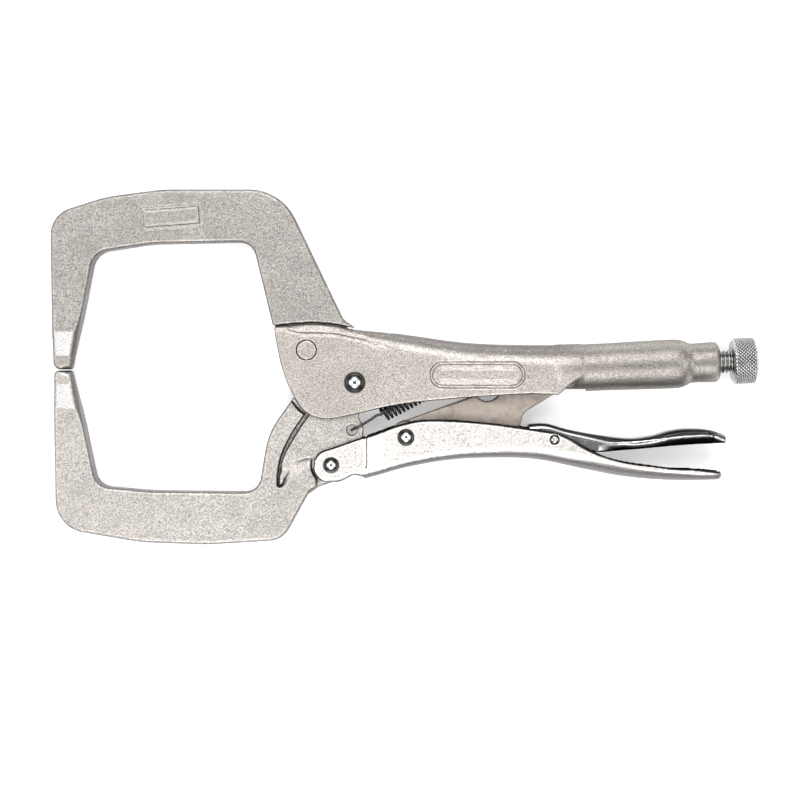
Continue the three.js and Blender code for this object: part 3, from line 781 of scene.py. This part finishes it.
def upper_handle():
    """A bent sheet, open below, that closes into a round barrel for the screw."""
    tube_start, tube_end = 80, 144
    bore_start, bore_end, bore = 84, 129.5, 7.0
    slot_start, slot_end, slot_half = 70, 91.5, 3.5
    grid = Grid((-34, -16.5, -11.2), (146, 25.5, 11.2), step=0.45)
    x = grid.x
    web = reading(UPPER_TOP, x)
    half = reading([
        [-60, PLATE_HALF], [-20, PLATE_HALF], [14, 6.45], [34, 7.4], [60, 8.3], [76, 8.9], [84, 9.2],
        [92, 9.4],
    ], x)
    bend = reading([[-60, 1.3], [-6, 1.4], [8, 4.2], [20, 7.0], [40, 7.8], [60, 8.2], [92, 9.3]], x)
    outside = channel(grid, web, half, bend, 1) + 0.9 * rise(x, 74, 89) ** 2
    # Towards the jaws, a lip stands out under the top line, with a dip above it and below it.
    crease = reading([[-60, 1], [-32, 1.2], [-20, 3.9], [-6, 3.7], [4, 4.2], [14, 6.4], [40, 7]], x)
    lip = np.interp((web - grid.y) / crease, [0, 0.3, 0.88, 1.08, 1.3], [-0.5, -0.4, 0.5, -0.5, 0])
    outside = outside - lip * rise(x, 16, 2) * rise(x, -33, -25)
    shell = sheet(outside, UPPER_SHEET) - emblem(grid) * (np.abs(grid.z) > 4)
    shell = cut(shell, np.maximum(np.abs(grid.z) - (PLATE_HALF - UPPER_SHEET), x - 1))
    edge = spline([
        [-31.3, 18], [-29, 7], [-25.5, -2.5], [-20, -11.2], [-12, -14.4], [-2, -13],
        [17, -8.8], [40, -6.3], [66, -4.6], [80, -4.8],
    ])
    outline = np.vstack([[-32.3, 26], edge, [89, 3], [89, 30], [-32.3, 30]])
    plates = corner(shell, inside_outline(outline, grid), 0.7)
    along, out = screw_coordinates(grid)
    profile = [
        [70, 8.2], [78, 8.5], [90, 9.25], [100, 9.35], [120, 9.66], [126, 9.68], [128.6, 9.45], [130.4, 8.95],
        [131.8, 8.2], [133, 7.78], [136, 7.78], [141, 7.95], [143, 7.8], [143.9, 7.2], [150, 7.0],
    ]
    tube = corner(out - reading(profile, along), np.maximum(tube_start - along, along - tube_end), 0.8)
    field = fused(plates, tube, 2.6)
    # The wide bore ends at a collar, where only the screw's own hole goes on. The link has a slot below.
    field = cut(field, greatest(out - bore, bore_start - along, along - bore_end))
    field = cut(field, np.where(along > 100, out - SCREW_RADIUS - GAP, 9.0), 0.5)
    field = cut(field, greatest(np.abs(grid.z) - slot_half, grid.y - 3, slot_start - x, x - slot_end))
    field = fused(field, slab(disc(SPRING_LUG, SPRING_LUG_RADIUS, grid), grid, 7.5, 0.2), 0.8)
    field = drilled(field, grid, [(JAW_PIVOT, JAW_HOLE)], 0.3)
    field = drilled(field, grid, [(FIXED_RIVET, FIXED_HOLE)], 0.25)
    made = net("upper_handle_shell", field, grid)
    finished(made, "upper_handle", ["upper_handle"], NICKEL)


# ---- lower handle and release lever ----
def lower_handle():
    """A bent sheet, open above, with hemmed edges and a narrow root beside the lower jaw."""
    grid = Grid((-18, -41.4, -10.2), (147, -12.4, 10.2), step=0.4)
    x = grid.x
    web = reading([
        [-22, -43.5], [3, -38.2], [20, -33.5], [38, -30.4], [56, -29.6], [72, -30.3], [90, -34],
        [106, -37], [122, -38.4], [136, -38.5], [148, -38.1],
    ], x)
    half = reading([
        [-40, LOWER_HALF], [0, LOWER_HALF], [4, 5.75], [14, 7.2], [40, 7.9], [80, 8.5], [112, 8.9],
        [132, 8.4], [141, 7], [148, 3],
    ], x)
    bend = reading([[-40, 3], [30, 3.8], [60, 4.6], [80, 5.4], [100, 7], [125, 6.2], [138, 4], [148, 2]], x)
    shell = sheet(channel(grid, web, half, bend, -1), LOWER_SHEET)
    shell = cut(shell, np.maximum(np.abs(grid.z) - (LOWER_HALF - LOWER_SHEET), x - 3.2))
    top = spline([
        [-16.4, -32.4], [-16, -30.4], [-13.4, -27.2], [-8, -25.3], [7, -20], [19, -15.5], [30, -13.9],
        [50, -14.9], [72, -17.8], [82, -19.9], [92, -25.4], [104, -30.2], [122, -33.0], [138, -33.9],
        [144.9, -34.5],
    ])
    root = rounded([
        [3, -50], [3.2, -38.4, 0.5], [0.2, -35.8, 3], [-5.8, -39.9, 5], [-13.6, -39.2, 5],
        [-17.2, -34, 4], [-16, -32],
    ])
    edge = inside_outline(np.vstack([top, [147, -50], root]), grid)
    # The sheet is rolled over at its edge, less at the root, and creased where the root widens.
    widened = rise(x, 0, 20)
    hem_width = 1.1 + 0.7 * widened + 0.3 * rise(x, 60, 100)
    hem = (0.6 + 0.6 * widened) * np.clip(1 + edge / hem_width, 0, 1) ** 1.3
    crease = 0.6 * np.exp(-(((x - 4.3) / 0.4) ** 2)) * (grid.y > -33.5)
    field = corner(shell + hem + crease, edge, 0.4)
    holes = ((LOWER_PIVOT, HANDLE_HOLE), (LINK_PIVOT, HANDLE_HOLE), (LEVER_PIVOT, PIN_HOLE))
    field = drilled(field, grid, holes, 0.2)
    made = net("lower_handle_channel", field, grid)
    finished(made, "lower_handle", ["lower_handle"], SATIN)


def release_lever():
    """A narrower bent sheet inside the lower handle, its rear flared into a finger pad."""
    grid = Grid((66.5, -29, -9), (148, -14.6, 9), step=0.35)
    x = grid.x
    web = reading([
        [60, -17.8], [64, -17.2], [70, -16.3], [76, -16.3], [84, -18.5], [96, -20.7], [108, -22], [117, -21],
        [125, -18.8], [132, -18.1], [140, -18.7], [146.4, -20.9], [150, -23],
    ], x)
    half = reading([[40, 5.9], [90, 5.9], [102, 5.9], [112, 7.8], [136, 7.8], [142, 6.8], [147.4, 4.6]], x)
    bend = reading([[40, 2.4], [88, 2.4], [108, 5], [130, 5.6], [140, 4], [150, 2]], x)
    foot = reading([[90, -28], [98, -27.4], [110, -26.4], [128, -24.8], [140, -24.1], [150, -23.8]], x)
    # Towards the rear, the sides' lower edges curl in.
    curl = 0.86 * reading([[-9, 0], [0, 0], [0.5, 0.15], [3.4, 3], [7, 6.6]], 3.6 - (grid.y - foot))
    curl = np.minimum(curl, 3) * rise(x, 96, 106) * rise(x, 149, 137)
    shell = sheet(channel(grid, web, half - curl, bend, 1), LEVER_SHEET)
    low = spline([[98, -27.4], [110, -26.4], [128, -24.8], [140, -24.1], [146.2, -23.9]])
    outline = np.vstack([
        [68.4, -10], [68.2, -19], [72, -25.4], [80, -27.2], low, [146.6, -21.6], [146.6, -10],
    ])
    field = corner(shell, inside_outline(outline, grid), 0.5)
    field = drilled(field, grid, [(LEVER_PIVOT, PIN_HOLE)], 0.2)
    made = net("release_lever_channel", field, grid)
    finished(made, "release_lever", ["release_lever"], LEVER_CHROME)


# ---- toggle link ----
def toggle_link():
    """The flat bar to the screw's end from its rivet in the lower handle, with a thicker boss there."""
    notch, notch_radius, boss_radius = np.array([52.4, -2.6]), 4.8, 6.1
    grid = Grid((12.5, -29, -6.2), (91.5, 8, 6.2), step=0.4)
    outline = rounded([
        [15.4, -16.2, 6], [21.6, -14.4, 4], [46, -5.6, 20], [85.4, 6.1], [87.6, 0.1], [77.6, -5.3, 10],
        [66.6, -12, 4], [65.2, -17.6, 2], [56, -20.6, 12], [34, -22.4, 20], [22.6, -27.6, 5], [14, -25, 5.6],
    ])
    flat = np.minimum(inside_outline(outline, grid), disc(LINK_END, LINK_END_RADIUS, grid))
    flat = cut(flat, disc(notch, notch_radius, grid), 0.8)
    boss = slab(disc(LINK_PIVOT, boss_radius, grid), grid, BOSS_HALF, 0.5)
    field = fused(slab(flat, grid, LINK_HALF, 0.7), boss, 1.0)
    field = drilled(field, grid, [(LINK_PIVOT, HANDLE_HOLE)], 0.2)
    made = net("toggle_link_bar", field, grid)
    finished(made, "toggle_link", ["toggle_link"], FORGED)


# ---- rivets ----
def dome(radius, height, dimple):
    """Rows [height, radius] of a round head, from its rim to its top, which may have a dimple."""
    ball = (radius**2 + height**2) / (2 * height)
    widest = math.asin(radius / ball)
    rows = [[0.0, radius * 0.97]]
    for angle in np.linspace(widest, 0.05, 16):
        rows.append([height - ball * (1 - math.cos(angle)), ball * math.sin(angle)])
    rows[1][0] = 0.08
    if dimple:
        rows = [row for row in rows if row[1] > dimple * 1.5]
        rows += [[height * 0.98, dimple * 1.2], [height * 0.35, dimple], [height * 0.3, dimple * 0.3]]
    return rows


def rivet(name, node, body, shank, radius, inner, height, dimple=0.0):
    """A rivet where the CAD's is, with a domed head at each end, inner out from the middle plane."""
    centre = np.array([*middle(node)[:2], 0.0])
    upper = [[inner + height, size] for height, size in dome(radius, height, dimple)]
    lower = [[-height, size] for height, size in reversed(upper)]
    tip = upper[-1][0]
    profile = [[-tip, 0], *lower, [-inner, shank], [inner, shank], *upper, [tip, 0]]
    made = turned(name, profile, centre, (0, 0, 1))
    finished(made, body, [node], CHROME)


def flush_rivet():
    """The rivet that fixes the upper jaw, its faces flat and level with the handle's plates."""
    face = extent("fixed_jaw_rivet")[1][2]
    rows = [[face, 0], [face, 3.1], [face - 0.05, 3.6], [face - 0.25, 3.8]]
    profile = [[-along, radius] for along, radius in rows] + rows[::-1]
    made = turned("fixed_jaw_rivet_flush", profile, np.array([*FIXED_RIVET, 0.0]), (0, 0, 1), 96)
    finished(made, "upper_handle", ["fixed_jaw_rivet"], NICKEL)


def rivets():
    """The three rivets at the hinges, the lever's pin and the upper jaw's flush rivet."""
    rivet(
        "jaw_pivot_rivet_domed", "jaw_pivot_rivet", "upper_handle",
        shank=3.1, radius=4.3, inner=6.3, height=3.2,
    )
    rivet(
        "handle_rivet_domed", "handle_rivet", "lower_handle",
        shank=2.4, radius=3.3, inner=5.6, height=2.4,
    )
    rivet(
        "link_rivet_domed", "link_rivet", "lower_handle",
        shank=2.4, radius=3.4, inner=7.4, height=2.2,
    )
    rivet(
        "release_pin_domed", "release_pin", "lower_handle",
        shank=1.5, radius=2.0, inner=8.4, height=0.9, dimple=0.65,
    )
    flush_rivet()


# ---- adjusting screw ----
def on_screw(name, rows, sides, radius_of):
    """A solid turned round the screw's axis. Its rows' distances read as x at the knob."""
    profile = [[distance - SCREW_POINT[0], radius] for distance, radius in rows]
    return turned(name, profile, SCREW_POINT, SCREW_DIRECTION, sides, radius_of)


def adjusting_screw():
    """The threaded rod, with a right-handed thread."""
    start, end, depth = 98.0, 149.0, 0.85
    sides, rows_per_turn = 56, 12

    def thread(distance, radius, angles):
        if radius < SCREW_RADIUS - 0.5:
            return np.full(len(angles), radius)
        x = distance + SCREW_POINT[0]
        turn = (x / SCREW_PITCH + angles / (2 * math.pi)) % 1
        groove = np.clip(np.abs(turn - 0.5) * 2.5 - 0.15, 0, 1)
        return radius - depth * groove * min(1.0, (x - start) / SCREW_PITCH)

    threaded = np.arange(start + 0.8, end, SCREW_PITCH / rows_per_turn)
    rows = [[start, 0], [start, SCREW_RADIUS - 1.2]]
    rows += [[distance, SCREW_RADIUS] for distance in threaded]
    rows += [[end, SCREW_RADIUS - 1], [end, 0]]
    made = on_screw("adjusting_screw_rod", rows, sides, thread)
    finished(made, "adjusting_screw", ["adjusting_screw"], THREAD)


def screw_knob():
    """The knob: a diamond knurl between two plain chamfers, with a shallow turned end face."""
    start, end, radius, chamfer = 149.3, 158.7, 9.1, 1.0
    cells, depth, slope = 40, 0.7, 0.62

    def knurl(distance, size, angles):
        if size < radius - 0.01:
            return np.full(len(angles), size)
        slant = distance / radius
        first = np.abs(np.sin((angles + slant) * cells / 2))
        second = np.abs(np.sin((angles - slant) * cells / 2))
        return size - depth * (1 - np.clip(np.minimum(first, second) / slope, 0, 1))

    rows = [
        [start + 0.01, 0], [start, 3.4], [start, radius - chamfer - 0.2], [start + 0.2, radius - chamfer],
        [start + chamfer * 0.85, radius - 0.12],
    ]
    rows += [[distance, radius] for distance in np.linspace(start + chamfer, end - chamfer, 72)]
    rows += [
        [end - chamfer * 0.85, radius - 0.12], [end - 0.2, radius - chamfer], [end, radius - chamfer - 0.3],
        [end, 6.4], [end - 0.35, 6.0], [end - 0.35, 1.6], [end - 0.7, 1.0], [end - 0.9, 0],
    ]
    made = on_screw("screw_knob_knurled", rows, cells * 8, knurl)
    finished(made, "screw_knob", ["screw_knob"], TURNED)


# ---- tension spring ----
def swept(name, path, radius, sides=10):
    """A round wire along a path, its section carried without twist."""
    path = np.array(path, float)
    tangents = np.gradient(path, axis=0)
    tangents /= np.linalg.norm(tangents, axis=1)[:, None]
    normal = np.cross(tangents[0], [0.3, 0.2, 1.0])
    angles = np.linspace(0, 2 * math.pi, sides, endpoint=False)
    vertices, faces = [], []
    for point, tangent in zip(path, tangents):
        normal = normal - tangent * (normal @ tangent)
        normal /= np.linalg.norm(normal)
        side = np.cross(tangent, normal)
        vertices.append(point + radius * (np.outer(np.cos(angles), normal) + np.outer(np.sin(angles), side)))
    vertices = np.vstack(vertices)
    for i in range(len(path) - 1):
        for j in range(sides):
            k = (j + 1) % sides
            faces.append((i * sides + j, i * sides + k, (i + 1) * sides + k, (i + 1) * sides + j))
    faces.append(tuple(reversed(range(sides))))
    faces.append(tuple(range(len(vertices) - sides, len(vertices))))
    return mesh_object(name, vertices, faces)


def tension_spring():
    """One wire: a hook through the lower jaw, the coil, and a loop round the handle's lug."""
    wire, coil_radius, pitch, loop_radius = 0.52, 2.95, 1.75, 3.2
    coil_start, coil_end, steps_per_turn = 13.5, 45.0, 28
    hole = np.array([*SPRING_HOLE, 0.0])
    lug = np.array([*SPRING_LUG, 0.0])
    reach = np.linalg.norm(lug - hole)
    along = (lug - hole) / reach
    across = np.array([-along[1], along[0], 0.0])

    def at(distance, side, lift=0.0):
        """A point so far from the hook's hole, to the side of the line to the lug, and up."""
        return hole + distance * along + side * across + lift * np.array([0, 0, 1.0])

    outside = TANG_HALF + wire + GAP
    hook = [
        at(4.6, 0, -outside), at(1.2, 0, -outside), at(0, 0, -TANG_HALF), at(0, 0, 0), at(0, 0, TANG_HALF),
        at(1, 0, outside), at(4, 0, outside), at(8.5, 0.3, 3.4), at(11.5, 0.6, coil_radius),
    ]
    coil = []
    for step in range(int((coil_end - coil_start) / pitch * steps_per_turn) + 1):
        turn = step / steps_per_turn
        angle = 2 * math.pi * turn
        side, lift = coil_radius * math.sin(angle), coil_radius * math.cos(angle)
        coil.append(at(coil_start + pitch * turn, side, lift))
    loop = [at(coil_end + 2.2, -2.2, 1.2), at(coil_end + 6, -3.2)]
    for degrees in range(-90, 151, 30):
        angle = math.radians(degrees)
        loop.append(at(reach + loop_radius * math.cos(angle), loop_radius * math.sin(angle)))
    front = spline(hook + coil[:1], 8)[:-1]
    rear = spline(coil[-1:] + loop, 8)[1:]
    made = swept("tension_spring_wire", np.vstack([front, coil, rear]), wire)
    made.data.materials.append(WIRE)
    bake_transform(made)
    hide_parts("tension_spring")


# ---- floor, light and camera ----
def floor():
    """White paper under the tool, which glows a little so that shadows stay pale."""
    half = 6.0
    corners = [(-half, -half, 0), (half, -half, 0), (half, half, 0), (-half, half, 0)]
    mesh = bpy.data.meshes.new("floor")
    mesh.from_pydata(corners, [], [(0, 1, 2, 3)])
    made = bpy.data.objects.new("floor", mesh)
    bpy.context.scene.collection.objects.link(made)
    paper = Shader("paper_floor")
    mesh.materials.append(paper.looks(
        Base_Color=paper.ramp(paper.noise(40, 2), (0.3, grey(0.93)), (0.7, grey(0.95))),
        Roughness=0.9,
        Specular_IOR_Level=0.1,
        Emission_Color=grey(1),
        Emission_Strength=0.3,
    ))


def dome_light():
    """A sky in bright and dark bands by height, in four brighter and four darker sectors all round."""
    bands = (
        (0.0, 1.2), (0.05, 1.2), (0.08, 0.1), (0.3, 0.14), (0.45, 0.3),
        (0.56, 0.4), (0.68, 2.2), (0.9, 2.3), (0.95, 0.3), (1.0, 0.12),
    )
    sectors = 4
    world = bpy.data.worlds.new("soft_dome")
    bpy.context.scene.world = world
    world.use_nodes = True
    sky = Nodes(world.node_tree)
    direction = sky.add("ShaderNodeTexCoord").outputs["Generated"]
    azimuth = sky.math("ARCTAN2", sky.along(direction, "Y"), sky.along(direction, "X"))
    wave = sky.math("SINE", sky.math("MULTIPLY_ADD", azimuth, sectors, math.pi / 2))
    colour = sky.ramp(sky.along(direction, "Z"), *[(height, grey(level)) for height, level in bands])
    background = sky.tree.nodes["Background"].inputs
    sky.put(background["Strength"], sky.level(wave, 0.45, 1.6, -0.7, 0.7))
    sky.put(background["Color"], colour)


def softboxes():
    """Two square lights above the tool, one towards each long side, that face the frame's origin."""
    for name, away in (("near_softbox", -0.6), ("far_softbox", 0.6)):
        lamp = bpy.data.lights.new(name, "AREA")
        lamp.energy = 2.6
        lamp.size = 0.45
        holder = bpy.data.objects.new(name, lamp)
        holder.location = (-0.1, away, 1.15)
        holder.rotation_mode = "QUATERNION"
        holder.rotation_quaternion = (-holder.location).to_track_quat("-Z", "Y")
        bpy.context.scene.collection.objects.link(holder)


def camera():
    """Straight down on the tool's side, from the photograph's distance."""
    distance, field_width, aim = 760.0, 317.2, (19.4, 6.5)
    data = bpy.data.cameras.new("camera")
    data.sensor_width = 36.0
    data.lens = data.sensor_width * distance / field_width
    data.shift_x = -0.005
    data.shift_y = -0.0425
    data.clip_start, data.clip_end = 0.01, 20.0
    made = bpy.data.objects.new("camera", data)
    made.location = frame_point([*aim, distance])
    bpy.context.scene.collection.objects.link(made)
    bpy.context.scene.camera = made


bpy.context.scene.view_settings.view_transform = "Standard"
floor()
dome_light()
softboxes()
camera()
upper_jaw()
lower_jaw()
upper_handle()
lower_handle()
release_lever()
toggle_link()
rivets()
adjusting_screw()
screw_knob()
tension_spring()
